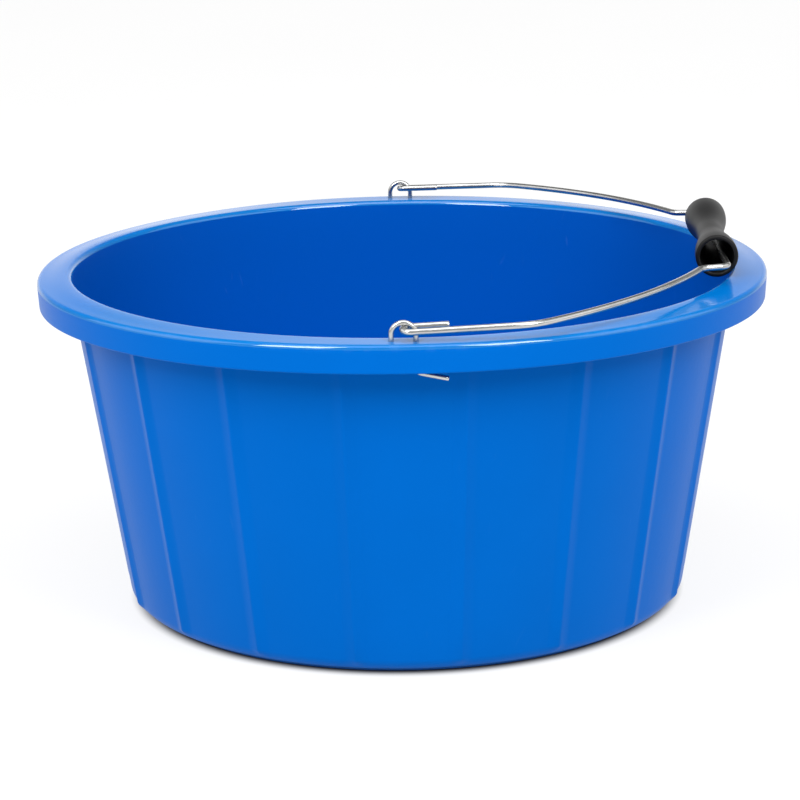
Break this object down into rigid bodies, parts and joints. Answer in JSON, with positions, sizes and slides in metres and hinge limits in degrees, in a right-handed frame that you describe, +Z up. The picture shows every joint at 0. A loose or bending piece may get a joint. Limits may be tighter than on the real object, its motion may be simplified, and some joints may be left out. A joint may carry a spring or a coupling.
{
  "type": "feed bucket",
  "caption": "Shallow round feed bucket: ribbed tapered shell with a flat skirted rim, wire bail hooked through rim staples, and a loose moulded hand grip.",
  "frame": {"origin": "on the floor under the centre of the bucket's base", "axes": "+Z up; the bail's swing axis runs along Y through the two staples; the bail is folded down towards +X"},
  "size_m": [0.3999, 0.4, 0.2087],
  "materials": {
    "shell_plastic": "semi-gloss moulded blue polyethylene with fine handling marks",
    "staple_wire": "bright galvanised drawn wire",
    "bail_wire": "bright galvanised drawn wire",
    "grip_plastic": "satin black moulded plastic"
  },
  "bodies": {
    "bucket": {"bucket_shell": "shell_plastic", "front_staple": "staple_wire", "rear_staple": "staple_wire"},
    "bail": {"bail_wire": "bail_wire"},
    "grip": {"hand_grip": "grip_plastic"}
  },
  "joints": [
    {"name": "bail_swing", "type": "hinge", "parent": "bucket", "child": "bail", "pos_m": [0, 0, 0.1918], "axis": [0, -1, 0], "range_deg": [0, 176.3]},
    {"name": "grip_spin", "type": "hinge", "parent": "bail", "child": "grip", "pos_m": [0.17032, 0, 0.19727], "axis": [0.0454, 0.999, 0], "continuous": true}
  ]
}
